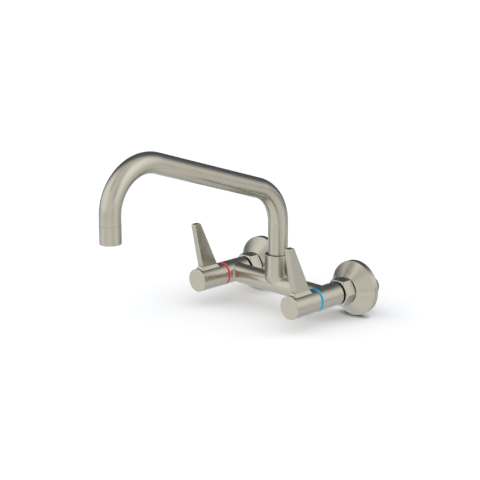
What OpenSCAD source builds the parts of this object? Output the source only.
// Wall faucet with two lever handles and a swivelling tube spout, in millimetres.
// The origin is on the wall, midway between the two valves. +Y runs into the wall,
// -Y is the front, +Z is up, and the cold valve is on the +X side.
// Threads are drawn as plain cylinders at their outer diameter.

/* [Layout] */
// Distance between the two valve axes
valve_spacing = 150; // [130:1:220]
// Distance from the wall to the axis of the cross tube
wall_distance = 55.6; // [53:0.1:75]

/* [Mixer body] */
// Outer diameter of the two valve bodies and of the handles
valve_d = 27.4; // [26.8:0.1:30]
// Length of a valve body in front of the cross tube's axis
valve_front = 17; // [16:0.5:24]
// Length of a valve body behind the cross tube's axis
valve_rear = 17.5; // [15:0.5:24]
// Outer diameter of the cross tube
cross_d = 23.4; // [20:0.1:26]
// Diameter of the waterway in the cross tube
waterway_d = 16; // [12:0.5:17]
// Outer diameter of the boss that holds the spout
boss_d = 30.4; // [29.6:0.1:36]
// Height of the boss's top above the cross tube's axis
boss_top = 36.5; // [36:0.5:50]
// Chamfer on the body's outer edges
body_edge = 0.4; // [0.1:0.1:1]

/* [Valve seats] */
// Distance from the cross tube's axis to the seat that the headwork is screwed down on
seat_back = 7.5; // [7:0.1:8.5]
// Thickness of the wall that forms the seat
seat_wall = 2; // [1:0.1:3]
// Diameter of the hole through the seat
seat_hole_d = 12; // [8:0.5:13]
// Length of the narrow bore next to the seat
seat_bore_length = 4.5; // [3:0.1:6]

/* [Headwork] */
// Outer diameter of the thread that screws into the body
headwork_thread_d = 20.9; // [20:0.1:21.3]
// Outer diameter of the sleeve round the discs
sleeve_d = 18.4; // [17.8:0.1:19]
// Wall of the sleeve
sleeve_wall = 1; // [0.6:0.1:1.2]
// Diameter of the flange that rests on the mouth of the body
headwork_flange_d = 24.4; // [23.6:0.1:24.8]
// Thickness of that flange
headwork_flange_t = 2.4; // [1.5:0.1:2.6]
// Width across the flats of the spanner hexagon
headwork_hex = 19; // [17:0.1:19.5]
// Length of the spanner hexagon
headwork_hex_length = 6.4; // [4:0.1:8]
// Diameter of the neck round the spindle
neck_d = 15; // [13:0.5:16]
// Length of the neck in front of the hexagon
neck_length = 3; // [1:0.5:5]
// Length of the side windows behind the moving disc
window_length = 4.6; // [3:0.1:5]
// Width of the side windows
window_width = 11; // [6:0.5:13]

/* [Ceramic discs] */
// Thickness of each disc
disc_t = 3.2; // [2.5:0.1:3.6]
// Outer radius of the two water ports in a disc
port_outer_r = 6.6; // [5:0.1:6.8]
// Inner radius of the water ports
port_inner_r = 2.2; // [1.5:0.1:3]
// Angle that each port spans
port_angle = 76; // [40:1:84]
// Depth of the slot that the spindle's bar drives
drive_slot_depth = 1.2; // [0.6:0.1:1.6]
// Width of the spindle's bar
drive_bar_w = 3.8; // [3:0.1:4.2]

/* [Spindle] */
// Diameter of the spindle in the headwork
spindle_d = 10.4; // [9:0.1:11]
// Diameter over the tips of the splines
spline_d = 8; // [7:0.1:8.6]
// Depth of the splines
spline_depth = 0.45; // [0.2:0.05:0.6]
// Number of splines
spline_count = 20; // [12:1:24]
// Length of the spindle in front of the neck
spindle_out = 17; // [12:0.5:24]

/* [Seals] */
// Thickness of the rubber seal between seat and fixed disc
seat_seal_t = 3; // [2:0.1:3.4]
// Thickness of an O-ring's section in the headwork
headwork_ring_t = 1.7; // [1.2:0.1:2]
// Thickness of an O-ring's section on the spindle
spindle_ring_t = 1.9; // [1.2:0.1:2]

/* [Handles] */
// Length of the round part of a handle
handle_length = 39.8; // [38:0.1:60]
// Chamfer on the front edge of a handle
handle_edge = 0.5; // [0.1:0.1:1.5]
// Diameter of the hollow that hides the headwork
handle_hollow_d = 23.4; // [22.8:0.1:24]
// Width of the coloured ring behind a handle
index_ring_w = 2.7; // [2.6:0.1:5]
// Height that the coloured ring stands proud of the body
index_ring_proud = 0.1; // [0:0.05:0.5]

/* [Lever] */
// Height of the lever's top above the valve axis
lever_top = 69.8; // [50:0.1:90]
// Depth of the lever at its top, front to back
lever_top_depth = 9.6; // [8:0.1:16]
// Depth of the lever where it meets the round part
lever_root_depth = 24.4; // [18:0.1:26]
// Distance from the handle's front face back to the lever's root
lever_setback = 6; // [5.5:0.1:8]
// Distance that the lever's top leans out past its root
lever_lean = 12; // [4:0.1:20]
// Thickness of the lever at its top
lever_top_t = 7; // [4:0.1:8]
// Thickness of the lever at its root
lever_root_t = 8.2; // [6:0.1:10]
// Rounding of the lever's top corners
lever_round = 1.8; // [0.5:0.1:3]
// Radius of the fillet between lever and round part
lever_fillet = 4.5; // [2:0.1:5]

/* [Spout] */
// Distance from the swivel axis to the axis of the outlet
spout_reach = 254.4; // [200:0.1:360]
// Height above the cross tube's axis where the run's axis meets the riser's axis
run_height = 109.8; // [90:0.1:160]
// Angle that the run rises towards the outlet
run_slope = 19; // [0:0.5:25]
// Radius of both bends at the tube's centreline
bend_r = 50; // [30:0.5:60]
// Height of the second bend's lower end above the outlet's lowest edge
outlet_height = 28.9; // [26:0.1:80]
// Outer diameter of the tube
tube_d = 23.6; // [22.6:0.1:24.2]
// Wall of the tube
tube_wall = 1.5; // [1:0.1:1.8]

/* [Spout socket] */
// Diameter of the bore in the boss
socket_d = 24.4; // [23.8:0.1:24.8]
// Height of the bore's floor above the cross tube's axis
socket_floor = 16.5; // [14:0.1:18]
// Depth of the guide ring's seat at the top of the boss
guide_depth = 4; // [3:0.1:5]
// Wall of the guide ring
guide_wall = 1.5; // [1:0.1:1.8]
// Thickness of the thrust ring on the bore's floor
thrust_t = 1.5; // [1:0.1:2]
// Outer diameter of the sleeve that is brazed into the tube
swivel_d = 23.2; // [22.8:0.1:23.4]
// Bore of that sleeve
swivel_bore_d = 17.2; // [14:0.1:17.6]
// Length of the sleeve inside the tube
swivel_insert = 10; // [6:0.5:16]
// Thickness of the two O-rings' sections
spout_ring_t = 1.8; // [1.4:0.1:1.9]

/* [Aerator] */
// Height of the aerator's housing
aerator_height = 20.2; // [16:0.1:26]
// Outer diameter of the aerator's housing
aerator_d = 23.8; // [23:0.1:25]
// Diameter of the hollow under the insert
mouth_d = 19.6; // [17:0.1:20.5]
// Depth of the hollow under the insert
mouth_depth = 7; // [5:0.1:8]
// Thickness of the ledge that carries the insert
ledge_t = 1.5; // [0.8:0.1:2]
// Outer diameter of the thread on the housing
aerator_thread_d = 18.8; // [18:0.1:19]
// Length of the thread on the housing
aerator_thread_length = 5.8; // [4:0.1:8]
// Outer diameter of the insert
insert_d = 17; // [16:0.1:17.2]
// Diameter of each hole through the insert
insert_hole_d = 1.9; // [1:0.1:2]

/* [Union nuts] */
// Width across the flats of the union nuts
nut_hex = 30; // [29.4:0.1:34]
// Length of a union nut
nut_length = 15; // [13:0.5:20]
// Gap between the valve body and the union nut
nut_gap = 2.5; // [1:0.1:4]
// Thickness of the nut's front lip
nut_lip = 4; // [3:0.1:5]

/* [Inlets] */
// Outer diameter of the thread under the union nut
inlet_thread_d = 26.4; // [25.8:0.1:26.8]
// Bore of the offset connectors at the union nut
inlet_bore_d = 16; // [12:0.5:18]
// Outer diameter of the thread that enters the wall
tail_d = 20.95; // [18:0.05:22]
// Bore of that thread
tail_bore_d = 14; // [10:0.5:15]
// Length of that thread behind the wall
tail_length = 20; // [12:0.5:40]
// Sideways offset of the wall thread from the valve axis
tail_offset = 7.5; // [0:0.1:9]
// Angle below level that the offset is turned
tail_turn = 5; // [-30:1:30]
// Thickness of the washer in a union
union_washer_t = 2; // [1.5:0.1:3]
// Diameter of the inlet nipples' neck
nipple_neck_d = 19; // [17:0.1:19.2]
// Bore of the inlet nipples
nipple_bore_d = 13; // [10:0.5:14]

/* [Wall flanges] */
// Diameter of a wall flange
flange_d = 64.8; // [55:0.1:80]
// Width of the flange's cylindrical rim
flange_rim = 6.7; // [3:0.1:8]
// Diameter of the flange's small end
flange_small_d = 32; // [31:0.1:36]
// Wall of the flange
flange_wall = 2; // [1:0.1:2.5]
// Length of the flange's threaded neck
flange_neck = 7; // [4:0.1:8]

/* [Hidden] */
$fn = 96;

// Clearances and small sizes that several pieces share
cut_over = 1;
thread_gap = 0.05;
run_gap = 0.08;
turn_gap = 0.3;
seat_gap = 0.1;

// Radii
valve_r = valve_d / 2;
cross_r = cross_d / 2;
boss_r = boss_d / 2;
waterway_r = waterway_d / 2;
sleeve_r = sleeve_d / 2;
sleeve_bore_r = sleeve_r - sleeve_wall;
disc_r = sleeve_bore_r - seat_gap;
spindle_r = spindle_d / 2;
tube_r = tube_d / 2;
tube_bore_r = tube_r - tube_wall;
tail_r = tail_d / 2;
inlet_thread_r = inlet_thread_d / 2;

// Places along a valve's axis, measured from the cross tube's axis towards the wall
mouth_y = -valve_front;
ring_front_y = mouth_y - index_ring_w;
handle_rear_y = ring_front_y - turn_gap;
handle_front_y = handle_rear_y - handle_length;
seat_y = seat_back;
seat_seal_front_y = seat_y - seat_seal_t;
fixed_disc_front_y = seat_seal_front_y - disc_t;
moving_disc_rear_y = fixed_disc_front_y - thread_gap;
moving_disc_front_y = moving_disc_rear_y - disc_t;
chamber_front_y = moving_disc_front_y - window_length;
chamber_land = 1;
thread_rear_y = chamber_front_y - chamber_land;
ring_land = headwork_ring_t + turn_gap;
thread_front_y = mouth_y + ring_land;
hex_rear_y = mouth_y - headwork_flange_t;
hex_front_y = hex_rear_y - headwork_hex_length;
neck_front_y = hex_front_y - neck_length;
spindle_front_y = neck_front_y - spindle_out;
nut_front_y = valve_rear + nut_gap;
nut_rear_y = nut_front_y + nut_length;
collar_front_y = nut_front_y + nut_lip;
collar_t = 2;
washer_front_y = collar_front_y + collar_t;
connector_front_y = washer_front_y + union_washer_t;
flange_gap = 0.8;
flange_front_y = nut_rear_y + flange_gap;
flange_neck_rear_y = flange_front_y + flange_neck;
tail_root = 4;
tail_front_y = wall_distance - tail_root;
tail_end_y = wall_distance + tail_length;

// Valve body bores
headwork_bore_r = headwork_thread_d / 2 + thread_gap;
headwork_ring_r = headwork_thread_d / 2 - headwork_ring_t / 2 + turn_gap / 2;
ring_seat_r = headwork_ring_r + headwork_ring_t / 2 + seat_gap;
chamber_relief = 0.4;
chamber_r = headwork_bore_r + chamber_relief;
seat_bore_r = sleeve_r + seat_gap;
nipple_thread_r = nipple_neck_d / 2 - thread_gap - chamber_relief;

// Collar and washer of a union
collar_r = inlet_thread_r - turn_gap * 2;

// Clip on the spindle
clip_t = 0.9;
clip_r = spindle_r + clip_t;
clip_groove_r = spline_d / 2 - spline_depth - seat_gap;

// Hollow in the handle
hollow_front_y = neck_front_y - clip_t * 3;
handle_screw_d = 5;
handle_screw_y = spindle_front_y + handle_screw_d;
screw_socket = 2.5;
screw_recess = 0.8;

// Spout socket, measured up from the cross tube's axis
socket_r = socket_d / 2;
swivel_r = swivel_d / 2;
guide_floor = boss_top - guide_depth;
guide_r = tube_r + run_gap + guide_wall;
swivel_bottom = socket_floor + thrust_t + seat_gap;
spout_ring_r = socket_r - run_gap - spout_ring_t / 2;
spout_ring_groove = spout_ring_t + turn_gap;
lock_screw_d = 5;
lock_tip_d = 3.2;
lock_groove_w = lock_tip_d + 2 * turn_gap;
lock_groove_depth = 1.3;
lock_height = swivel_bottom + lock_groove_w / 2 + thrust_t / 2;
ring_heights = [guide_floor - spout_ring_t * 3 + turn_gap * 2 - spout_ring_t, guide_floor - spout_ring_t];

// Spout's centreline: corner points, tangent lengths and bend centres
bend_1_angle = 90 - run_slope;
bend_2_angle = 90 + run_slope;
bend_1_tangent = bend_r * tan(bend_1_angle / 2);
bend_2_tangent = bend_r * tan(bend_2_angle / 2);
corner_height = run_height + spout_reach * tan(run_slope);
riser_top = run_height - bend_1_tangent;
leg_top = corner_height - bend_2_tangent;
run_length = spout_reach / cos(run_slope) - bend_1_tangent - bend_2_tangent;
seam_step = 0.05;
seam_lap = 0.2;

// Aerator, measured up from the outlet's lowest edge
outlet_z = leg_top - outlet_height;
insert_floor = mouth_depth + ledge_t;
thread_top = aerator_height + aerator_thread_length;
aerator_washer_t = 2.5;
washer_top = thread_top + aerator_washer_t / 5;
insert_r = insert_d / 2;
outlet_ring_lip = 2;
insert_wall = 1.6;

// Lever's places: y runs along the handle, z up
lever_root_z = valve_r;
lever_root_front_y = handle_front_y + lever_setback;
lever_root_back_y = lever_root_front_y + lever_root_depth;
lever_top_front_y = lever_root_front_y - lever_lean;
lever_top_back_y = lever_top_front_y + lever_top_depth;
lever_corner = 0.9;
lever_rear_room = handle_length - lever_setback - lever_root_depth - body_edge;
fillet_r = min(lever_fillet, lever_rear_room, lever_setback - handle_edge);
fillet_sink = 0.05;
fillet_steps = 6;
corner_steps = 4;

metal = [0.74, 0.72, 0.66];
brass = [0.78, 0.64, 0.35];
rubber = [0.12, 0.12, 0.12];
nylon = [0.2, 0.2, 0.2];
ceramic = [0.93, 0.92, 0.88];
steel = [0.6, 0.6, 0.62];
red = [0.85, 0.16, 0.16];
blue = [0.08, 0.55, 0.8];

// Puts a piece drawn on the cold valve's axis in its place
module cold_side() {
  translate([valve_spacing / 2, -wall_distance, 0]) children();
}

// The hot side is the cold side's mirror image
module hot_side() {
  mirror([1, 0, 0]) cold_side() children();
}

// Puts a piece drawn on the swivel axis in its place
module centre() {
  translate([0, -wall_distance, 0]) children();
}

// Turns an outline of [radius, place] pairs round the Y axis
module turned(outline) {
  rotate([-90, 0, 0]) rotate_extrude() polygon(outline);
}

// A plain rod along Y
module rod(r, from, to) {
  translate([0, from, 0]) rotate([-90, 0, 0]) cylinder(h = to - from, r = r);
}

// A hexagonal bar along Y with a flat on top
module hex_bar(flats, from, to) {
  translate([0, from, 0]) rotate([-90, 0, 0]) cylinder(h = to - from, r = flats / sqrt(3), $fn = 6);
}

// An O-ring lying round Y
module o_ring_y(r, section, at) {
  translate([0, at, 0]) rotate([-90, 0, 0]) rotate_extrude() translate([r, 0]) circle(d = section);
}

// Mixer body: one casting of cross tube, valve bodies and spout boss

module valve_body_outside() {
  turned([
    [0, mouth_y], [valve_r - body_edge, mouth_y], [valve_r, mouth_y + body_edge],
    [valve_r, valve_rear - body_edge], [valve_r - body_edge, valve_rear], [0, valve_rear]
  ]);
}

module valve_body_bores() {
  turned([
    [0, mouth_y - cut_over], [ring_seat_r, mouth_y - cut_over], [ring_seat_r, thread_front_y],
    [headwork_bore_r, thread_front_y], [headwork_bore_r, thread_rear_y],
    [chamber_r, thread_rear_y], [chamber_r, seat_y - seat_bore_length],
    [seat_bore_r, seat_y - seat_bore_length], [seat_bore_r, seat_y],
    [seat_hole_d / 2, seat_y], [seat_hole_d / 2, seat_y + seat_wall],
    [nipple_thread_r + thread_gap, seat_y + seat_wall],
    [nipple_thread_r + thread_gap, valve_rear + cut_over], [0, valve_rear + cut_over]
  ]);
}

module boss_outside() {
  translate([0, 0, cross_r]) sphere(r = boss_r);
  translate([0, 0, cross_r]) cylinder(h = boss_top - cross_r - body_edge, r = boss_r);
  translate([0, 0, boss_top - body_edge])
    cylinder(h = body_edge, r1 = boss_r, r2 = boss_r - body_edge);
}

module boss_bores() {
  cylinder(h = socket_floor + cut_over, r = waterway_r);
  translate([0, 0, socket_floor]) cylinder(h = boss_top, r = socket_r);
  translate([0, 0, guide_floor]) cylinder(h = boss_top, r = guide_r + thread_gap);
  translate([0, 0, lock_height]) rod(lock_screw_d / 2 + thread_gap, 0, boss_r + cut_over);
}

module mixer_body() {
  color(metal) centre() difference() {
    union() {
      rotate([0, 90, 0]) cylinder(h = valve_spacing, r = cross_r, center = true);
      for (side = [-1, 1]) translate([side * valve_spacing / 2, 0, 0]) valve_body_outside();
      boss_outside();
    }
    for (side = [-1, 1]) translate([side * valve_spacing / 2, 0, 0]) valve_body_bores();
    rotate([0, 90, 0])
      cylinder(h = valve_spacing - 2 * chamber_r + 2 * chamber_land, r = waterway_r, center = true);
    boss_bores();
  }
}

// Headwork: the screwed-in valve cartridge, piece by piece

module headwork() {
  color(brass) difference() {
    union() {
      rod(sleeve_r, thread_rear_y, seat_y - chamber_land);
      rod(headwork_thread_d / 2, thread_front_y, thread_rear_y);
      rod(headwork_ring_r - headwork_ring_t / 2, mouth_y, thread_front_y);
      rod(headwork_flange_d / 2, hex_rear_y, mouth_y);
      hex_bar(headwork_hex, hex_front_y, hex_rear_y);
      rod(neck_d / 2, neck_front_y, hex_front_y);
    }
    rod(sleeve_bore_r, chamber_front_y, seat_y);
    rod(spindle_r + run_gap, neck_front_y - cut_over, chamber_front_y + cut_over);
    translate([-sleeve_d, chamber_front_y, -window_width / 2])
      cube([sleeve_d * 2, window_length, window_width]);
  }
}

module headwork_ring() {
  color(rubber) o_ring_y(headwork_ring_r, headwork_ring_t, mouth_y + ring_land / 2);
}

module seat_seal() {
  color(rubber) difference() {
    rod(disc_r, seat_seal_front_y, seat_y);
    rod(port_outer_r, seat_seal_front_y - cut_over, seat_y + cut_over);
  }
}

// A water port: a sector between two radii, centred on the X axis
module port(from, to) {
  reach = 2 * port_outer_r;
  intersection() {
    difference() {
      rod(port_outer_r, from, to);
      rod(port_inner_r, from - cut_over, to + cut_over);
    }
    translate([0, from, 0]) rotate([-90, 0, 0]) linear_extrude(height = to - from)
      polygon([
        [0, 0], [reach * cos(port_angle / 2), -reach * sin(port_angle / 2)],
        [reach * cos(port_angle / 2), reach * sin(port_angle / 2)]
      ]);
  }
}

module fixed_disc() {
  color(ceramic) difference() {
    rod(disc_r, fixed_disc_front_y, seat_seal_front_y);
    for (turn = [0, 180])
      rotate([0, turn, 0]) port(fixed_disc_front_y - cut_over, seat_seal_front_y + cut_over);
  }
}

module moving_disc() {
  color(ceramic) difference() {
    rod(disc_r, moving_disc_front_y, moving_disc_rear_y);
    for (turn = [90, 270])
      rotate([0, turn, 0]) port(moving_disc_front_y - cut_over, moving_disc_rear_y + cut_over);
    translate([-sleeve_d, moving_disc_front_y - cut_over, -drive_bar_w / 2 - thread_gap])
      cube([sleeve_d * 2, drive_slot_depth + cut_over, drive_bar_w + 2 * thread_gap]);
  }
}

// Outline of the splined end, tips and roots in turn
function spline_outline(grow) = [
  for (i = [0 : 2 * spline_count - 1])
    (spline_d / 2 + grow - (i % 2) * spline_depth)
      * [cos(i * 180 / spline_count), sin(i * 180 / spline_count)]
];

module splines(grow, from, to) {
  translate([0, from, 0]) rotate([-90, 0, 0])
    linear_extrude(height = to - from) polygon(spline_outline(grow));
}

module spindle() {
  bar_rear_y = moving_disc_front_y + drive_slot_depth - thread_gap;
  groove_y = mouth_y - headwork_flange_t;
  color(brass) {
    difference() {
      rod(spindle_r, neck_front_y, chamber_front_y + cut_over);
      difference() {
        rod(spindle_r + cut_over, groove_y - ring_land / 2, groove_y + ring_land / 2);
        rod(spindle_r - spindle_ring_t, groove_y - ring_land, groove_y + ring_land);
      }
    }
    intersection() {
      translate([-sleeve_bore_r, chamber_front_y + seat_gap, -drive_bar_w / 2])
        cube([2 * sleeve_bore_r, bar_rear_y - chamber_front_y - seat_gap, drive_bar_w]);
      rod(disc_r - turn_gap, chamber_front_y, bar_rear_y);
    }
    rod(clip_groove_r, neck_front_y - clip_t * 2, neck_front_y);
    splines(0, spindle_front_y, neck_front_y - clip_t * 2);
  }
}

module spindle_ring() {
  color(rubber)
    o_ring_y(spindle_r - spindle_ring_t / 2, spindle_ring_t - run_gap, mouth_y - headwork_flange_t);
}

module spindle_clip() {
  color(steel) difference() {
    rod(clip_r, neck_front_y - clip_t - seat_gap, neck_front_y - seat_gap);
    rod(clip_groove_r + thread_gap, neck_front_y - clip_r, neck_front_y + clip_r);
    translate([-clip_groove_r / 2, neck_front_y - clip_r, -clip_r * 2])
      cube([clip_groove_r, clip_r * 2, clip_r * 2]);
  }
}

module index_ring(tint) {
  color(tint) difference() {
    rod(valve_r + index_ring_proud, ring_front_y, mouth_y);
    rod(headwork_flange_d / 2 + seat_gap, ring_front_y - cut_over, mouth_y + cut_over);
  }
}

// Handle: round part, lever and the fillet between them

module lever_side_outline() {
  back_slope = (lever_root_back_y - lever_top_back_y) / (lever_top - lever_root_z);
  front_slope = (lever_root_front_y - lever_top_front_y) / (lever_top - lever_root_z);
  foot_z = valve_r / 2;
  polygon([
    [lever_root_front_y + front_slope * (lever_root_z - foot_z), foot_z],
    [lever_root_back_y + back_slope * (lever_root_z - foot_z), foot_z],
    [lever_top_back_y + back_slope * lever_round, lever_top - lever_round],
    [lever_top_back_y - lever_round / 3, lever_top - lever_round / 3],
    [lever_top_back_y - lever_round, lever_top],
    [lever_top_front_y + lever_round, lever_top],
    [lever_top_front_y + lever_round / 3, lever_top - lever_round / 3],
    [lever_top_front_y + front_slope * lever_round, lever_top - lever_round]
  ]);
}

module lever_front_outline() {
  slope = (lever_root_t - lever_top_t) / 2 / (lever_top - lever_root_z);
  polygon([
    [-lever_root_t / 2 - slope * lever_root_z, 0], [lever_root_t / 2 + slope * lever_root_z, 0],
    [lever_top_t / 2, lever_top], [-lever_top_t / 2, lever_top]
  ]);
}

module lever() {
  depth = handle_length + lever_lean;
  intersection() {
    rotate([90, 0, 90]) linear_extrude(height = lever_root_t * 2, center = true)
      lever_side_outline();
    translate([0, handle_rear_y, 0]) rotate([90, 0, 0]) linear_extrude(height = depth)
      lever_front_outline();
  }
}

// Half thickness of the lever, and the places of its front and back faces, at a height
function lever_half(z) =
  (lever_root_t + (lever_top_t - lever_root_t) * (z - lever_root_z) / (lever_top - lever_root_z)) / 2;
function lever_front_at(z) =
  lever_root_front_y - lever_lean * (z - lever_root_z) / (lever_top - lever_root_z);
function lever_back_at(z) = lever_root_back_y
  + (lever_top_back_y - lever_root_back_y) * (z - lever_root_z) / (lever_top - lever_root_z);

// One ring of the fillet: the lever's outline grown by spread, rise above the round part.
// The fillet's first and last ring lie just inside the lever and the round part
function fillet_ring(spread, rise) = let(
  z0 = lever_root_z + rise,
  half = lever_half(z0) + spread,
  front = lever_front_at(z0) - spread,
  back = lever_back_at(z0) + spread,
  r = lever_corner + spread
) [
  for (corner = [0 : 3], i = [0 : corner_steps]) let(
    a = corner * 90 + i * 90 / corner_steps,
    x = (corner == 0 || corner == 3 ? half - r : r - half) + r * cos(a),
    y = (corner < 2 ? back - r : front + r) + r * sin(a)
  ) [x, y, sqrt(valve_r * valve_r - x * x) + rise]
];

module lever_fillet_solid() {
  rings = concat(
    [fillet_ring(fillet_r - fillet_sink, -fillet_r / 4)],
    [for (i = [fillet_steps : -1 : 0]) let(a = i * 90 / fillet_steps)
      fillet_ring(fillet_r * (1 - cos(a)) - fillet_sink, fillet_r * (1 - sin(a)) - fillet_sink)]
  );
  n = 4 * (corner_steps + 1);
  last = len(rings) - 1;
  polyhedron(
    points = [for (ring = rings) each ring],
    faces = concat(
      [for (k = [0 : last - 1], i = [0 : n - 1]) let(j = (i + 1) % n)
        each [[k * n + i, (k + 1) * n + i, (k + 1) * n + j], [k * n + i, (k + 1) * n + j, k * n + j]]],
      [for (i = [1 : n - 2]) [0, i, i + 1]],
      [for (i = [1 : n - 2]) [last * n, last * n + i + 1, last * n + i]]
    ),
    convexity = 4
  );
}

module handle() {
  color(metal) difference() {
    union() {
      turned([
        [0, handle_front_y], [valve_r - handle_edge, handle_front_y],
        [valve_r, handle_front_y + handle_edge], [valve_r, handle_rear_y - body_edge],
        [valve_r - body_edge, handle_rear_y], [0, handle_rear_y]
      ]);
      lever();
      lever_fillet_solid();
    }
    rod(handle_hollow_d / 2, hollow_front_y, handle_rear_y + cut_over);
    splines(thread_gap, spindle_front_y - seat_gap, hollow_front_y + cut_over);
    translate([0, handle_screw_y, -valve_d]) cylinder(h = valve_d, d = handle_screw_d + 2 * thread_gap);
  }
}

module handle_screw() {
  bottom = -valve_r + screw_recess;
  top = -spline_d / 2 - 2 * thread_gap;
  color(steel) translate([0, handle_screw_y, 0]) difference() {
    translate([0, 0, bottom]) cylinder(h = top - bottom, d = handle_screw_d);
    translate([0, 0, bottom - cut_over])
      cylinder(h = screw_socket + cut_over, r = screw_socket / sqrt(3), $fn = 6);
  }
}

// Inlet union: nipple, nut and washer

module inlet_nipple() {
  shoulder_r = nipple_neck_d / 2 + chamber_relief;
  color(brass) turned([
    [nipple_bore_d / 2, seat_y + seat_wall], [nipple_thread_r, seat_y + seat_wall],
    [nipple_thread_r, valve_rear], [shoulder_r, valve_rear],
    [shoulder_r, valve_rear + nut_gap / 2], [nipple_neck_d / 2, valve_rear + nut_gap / 2],
    [nipple_neck_d / 2, collar_front_y], [collar_r, collar_front_y],
    [collar_r, washer_front_y], [nipple_bore_d / 2, washer_front_y]
  ]);
}

module union_nut() {
  corner_r = nut_hex / sqrt(3);
  bevel = corner_r - nut_hex / 2;
  bevel_depth = bevel * tan(30);
  color(metal) difference() {
    intersection() {
      hex_bar(nut_hex, nut_front_y, nut_rear_y);
      turned([
        [0, nut_front_y], [nut_hex / 2, nut_front_y], [corner_r, nut_front_y + bevel_depth],
        [corner_r, nut_rear_y - bevel_depth], [nut_hex / 2, nut_rear_y], [0, nut_rear_y]
      ]);
    }
    rod(nipple_neck_d / 2 + seat_gap, nut_front_y - cut_over, nut_rear_y);
    rod(inlet_thread_r + thread_gap, collar_front_y, nut_rear_y + cut_over);
  }
}

module union_washer() {
  color(rubber) difference() {
    rod(collar_r, washer_front_y, connector_front_y);
    rod(inlet_bore_d / 2, washer_front_y - cut_over, connector_front_y + cut_over);
  }
}

// Offset connector: level thread for the union, eccentric neck and wall thread

module tail_axis() {
  translate([tail_offset * cos(tail_turn), 0, -tail_offset * sin(tail_turn)]) children();
}

module offset_connector() {
  skin = flange_gap;
  tail_edge = 1;
  color(brass) difference() {
    union() {
      rod(inlet_thread_r, connector_front_y, flange_neck_rear_y);
      hull() {
        rod(inlet_thread_r - skin, flange_neck_rear_y, flange_neck_rear_y + skin, $fn = 40);
        tail_axis() rod(tail_r + skin, tail_front_y - skin, tail_front_y, $fn = 40);
      }
      tail_axis() turned([
        [0, tail_front_y], [tail_r, tail_front_y], [tail_r, tail_end_y - tail_edge],
        [tail_r - tail_edge, tail_end_y], [0, tail_end_y]
      ]);
    }
    rod(inlet_bore_d / 2, connector_front_y - cut_over, flange_neck_rear_y);
    hull() {
      rod(inlet_bore_d / 2, flange_neck_rear_y - skin, flange_neck_rear_y, $fn = 40);
      tail_axis() rod(tail_bore_d / 2, tail_front_y, tail_front_y + skin, $fn = 40);
    }
    tail_axis() rod(tail_bore_d / 2, tail_front_y, tail_end_y + cut_over);
  }
}

module wall_flange() {
  flange_r = flange_d / 2;
  small_r = flange_small_d / 2;
  neck_r = inlet_thread_r + thread_gap;
  neck_outer_r = neck_r + flange_wall;
  rim_front_y = wall_distance - flange_rim;
  slope = (rim_front_y - flange_front_y) / (flange_r - small_r);
  shift = flange_wall * sqrt(1 + slope * slope);
  inner_rim_r = flange_r - flange_wall;
  color(metal) turned([
    [neck_r, flange_front_y], [small_r, flange_front_y], [flange_r, rim_front_y],
    [flange_r, wall_distance], [inner_rim_r, wall_distance],
    [inner_rim_r, flange_front_y + slope * (inner_rim_r - small_r) + shift],
    [neck_outer_r, flange_front_y + slope * (neck_outer_r - small_r) + shift],
    [neck_outer_r, flange_neck_rear_y], [neck_r, flange_neck_rear_y]
  ]);
}

// Spout: one bent tube, its swivel and its outlet

// The cross-section of the tube, or of a bend, whose wall is thicker by a step on both sides
module tube_section(step = 0) {
  difference() {
    circle(r = tube_r + step);
    circle(r = tube_bore_r - step);
  }
}

// A bend in the YZ plane about a centre, from one angle on through a sweep
module bend(centre_y, centre_z, from, sweep) {
  translate([0, centre_y, centre_z]) rotate([90, 0, 90]) rotate([0, 0, from])
    rotate_extrude(angle = sweep) translate([bend_r, 0]) tube_section(seam_step);
}

// A straight length along Z. Its ends lap into the slightly thicker wall of the bends
module straight(from, to) {
  translate([0, 0, from]) linear_extrude(height = to - from) tube_section();
}

module spout_tube() {
  color(metal) centre() {
    straight(guide_floor, riser_top + seam_lap);
    bend(-bend_r, riser_top, 0, bend_1_angle);
    translate([0, -bend_1_tangent * cos(run_slope), run_height + bend_1_tangent * sin(run_slope)])
      rotate([90 - run_slope, 0, 0]) straight(-seam_lap, run_length + seam_lap);
    bend(bend_r - spout_reach, leg_top, bend_1_angle, bend_2_angle);
    translate([0, -spout_reach, 0]) straight(outlet_z + aerator_height, leg_top + seam_lap);
  }
}

module spout_swivel_sleeve() {
  color(brass) centre() difference() {
    union() {
      translate([0, 0, swivel_bottom]) cylinder(h = guide_floor - swivel_bottom, r = swivel_r);
      translate([0, 0, guide_floor]) cylinder(h = swivel_insert, r = tube_bore_r - thread_gap);
    }
    cylinder(h = guide_floor + swivel_insert + cut_over, d = swivel_bore_d);
    for (height = ring_heights) translate([0, 0, height - spout_ring_groove / 2]) difference() {
      cylinder(h = spout_ring_groove, r = swivel_r + cut_over);
      cylinder(h = spout_ring_groove, r = spout_ring_r - spout_ring_t / 2);
    }
    translate([0, 0, lock_height - lock_groove_w / 2]) difference() {
      cylinder(h = lock_groove_w, r = swivel_r + cut_over);
      cylinder(h = lock_groove_w, r = swivel_r - lock_groove_depth);
    }
  }
}

module spout_rings() {
  color(rubber) centre() for (height = ring_heights) translate([0, 0, height])
    rotate_extrude() translate([spout_ring_r, 0]) circle(d = spout_ring_t);
}

module spout_guide_ring() {
  color(nylon) centre() translate([0, 0, guide_floor]) difference() {
    cylinder(h = guide_depth - turn_gap, r = guide_r);
    translate([0, 0, -cut_over]) cylinder(h = guide_depth + cut_over, r = tube_r + run_gap);
  }
}

module spout_thrust_ring() {
  color(nylon) centre() translate([0, 0, socket_floor]) difference() {
    cylinder(h = thrust_t, r = socket_r - seat_gap);
    translate([0, 0, -cut_over]) cylinder(h = thrust_t + 2 * cut_over, d = swivel_bore_d);
  }
}

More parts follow.
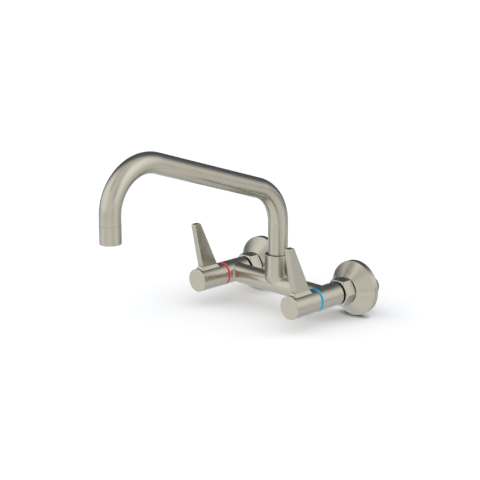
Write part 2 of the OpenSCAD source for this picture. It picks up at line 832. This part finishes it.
module spout_lock_screw() {
  head_y = boss_r - screw_recess;
  shoulder_y = socket_r + seat_gap;
  tip_y = swivel_r - lock_groove_depth + turn_gap;
  color(steel) centre() translate([0, 0, lock_height]) difference() {
    union() {
      rod(lock_screw_d / 2, shoulder_y, head_y);
      rod(lock_tip_d / 2, tip_y, shoulder_y);
    }
    hex_bar(screw_socket, head_y - screw_recess * 2, head_y + cut_over);
  }
}

// Puts a piece drawn on the outlet's axis, up from the outlet's lowest edge, in its place
module at_outlet() {
  centre() translate([0, -spout_reach, outlet_z]) children();
}

module spout_outlet_ring() {
  outer_r = tube_bore_r - thread_gap;
  inner_r = aerator_thread_d / 2 + thread_gap;
  lip_r = insert_r - insert_wall;
  ring_top = washer_top + outlet_ring_lip;
  color(brass) at_outlet() rotate_extrude() polygon([
    [inner_r, aerator_height], [outer_r, aerator_height], [outer_r, ring_top],
    [lip_r, ring_top], [lip_r, washer_top], [inner_r, washer_top]
  ]);
}

module aerator_housing() {
  housing_r = aerator_d / 2;
  thread_r = aerator_thread_d / 2;
  seat_r = insert_r + thread_gap;
  ledge_r = insert_r - turn_gap * 2;
  color(metal) at_outlet() rotate_extrude() polygon([
    [mouth_d / 2, 0], [housing_r - body_edge, 0], [housing_r, body_edge],
    [housing_r, aerator_height - body_edge], [housing_r - body_edge, aerator_height],
    [thread_r, aerator_height], [thread_r, thread_top], [seat_r, thread_top],
    [seat_r, insert_floor], [ledge_r, insert_floor], [ledge_r, mouth_depth], [mouth_d / 2, mouth_depth]
  ]);
}

module aerator_insert() {
  top = washer_top - aerator_washer_t;
  hole_rings = 2;
  pitch = (insert_r - insert_wall - insert_hole_d / 2 - turn_gap) / hole_rings;
  color(nylon) at_outlet() difference() {
    translate([0, 0, insert_floor]) cylinder(h = top - insert_floor, r = insert_r);
    translate([0, 0, insert_floor + insert_wall]) cylinder(h = top, r = insert_r - insert_wall);
    for (ring = [0 : hole_rings]) for (i = [0 : max(1, ring * 6) - 1])
      rotate([0, 0, ring * 15 + i * 60 / max(1, ring)])
        translate([ring * pitch, 0, insert_floor - cut_over])
          cylinder(h = insert_wall + 2 * cut_over, d = insert_hole_d, $fn = 24);
  }
}

module aerator_washer() {
  color(rubber) at_outlet() translate([0, 0, washer_top - aerator_washer_t]) difference() {
    cylinder(h = aerator_washer_t, r = insert_r);
    translate([0, 0, -cut_over]) cylinder(h = aerator_washer_t + 2 * cut_over, r = insert_r - insert_wall);
  }
}

mixer_body();
hot_side() headwork();  // hot_headwork
cold_side() headwork();  // cold_headwork
hot_side() headwork_ring();  // hot_headwork_ring
cold_side() headwork_ring();  // cold_headwork_ring
hot_side() seat_seal();  // hot_seat_seal
cold_side() seat_seal();  // cold_seat_seal
hot_side() fixed_disc();  // hot_fixed_disc
cold_side() fixed_disc();  // cold_fixed_disc
hot_side() moving_disc();  // hot_moving_disc
cold_side() moving_disc();  // cold_moving_disc
hot_side() spindle();  // hot_spindle
cold_side() spindle();  // cold_spindle
hot_side() spindle_ring();  // hot_spindle_ring
cold_side() spindle_ring();  // cold_spindle_ring
hot_side() spindle_clip();  // hot_spindle_clip
cold_side() spindle_clip();  // cold_spindle_clip
hot_side() index_ring(red);  // hot_index_ring
cold_side() index_ring(blue);  // cold_index_ring
hot_side() handle();  // hot_handle
cold_side() handle();  // cold_handle
hot_side() handle_screw();  // hot_handle_screw
cold_side() handle_screw();  // cold_handle_screw
hot_side() inlet_nipple();  // hot_inlet_nipple
cold_side() inlet_nipple();  // cold_inlet_nipple
hot_side() union_nut();  // hot_union_nut
cold_side() union_nut();  // cold_union_nut
hot_side() union_washer();  // hot_union_washer
cold_side() union_washer();  // cold_union_washer
hot_side() offset_connector();  // hot_offset_connector
cold_side() offset_connector();  // cold_offset_connector
hot_side() wall_flange();  // hot_wall_flange
cold_side() wall_flange();  // cold_wall_flange
spout_tube();
spout_swivel_sleeve();
spout_rings();
spout_guide_ring();
spout_thrust_ring();
spout_lock_screw();
spout_outlet_ring();
aerator_housing();
aerator_insert();
aerator_washer();
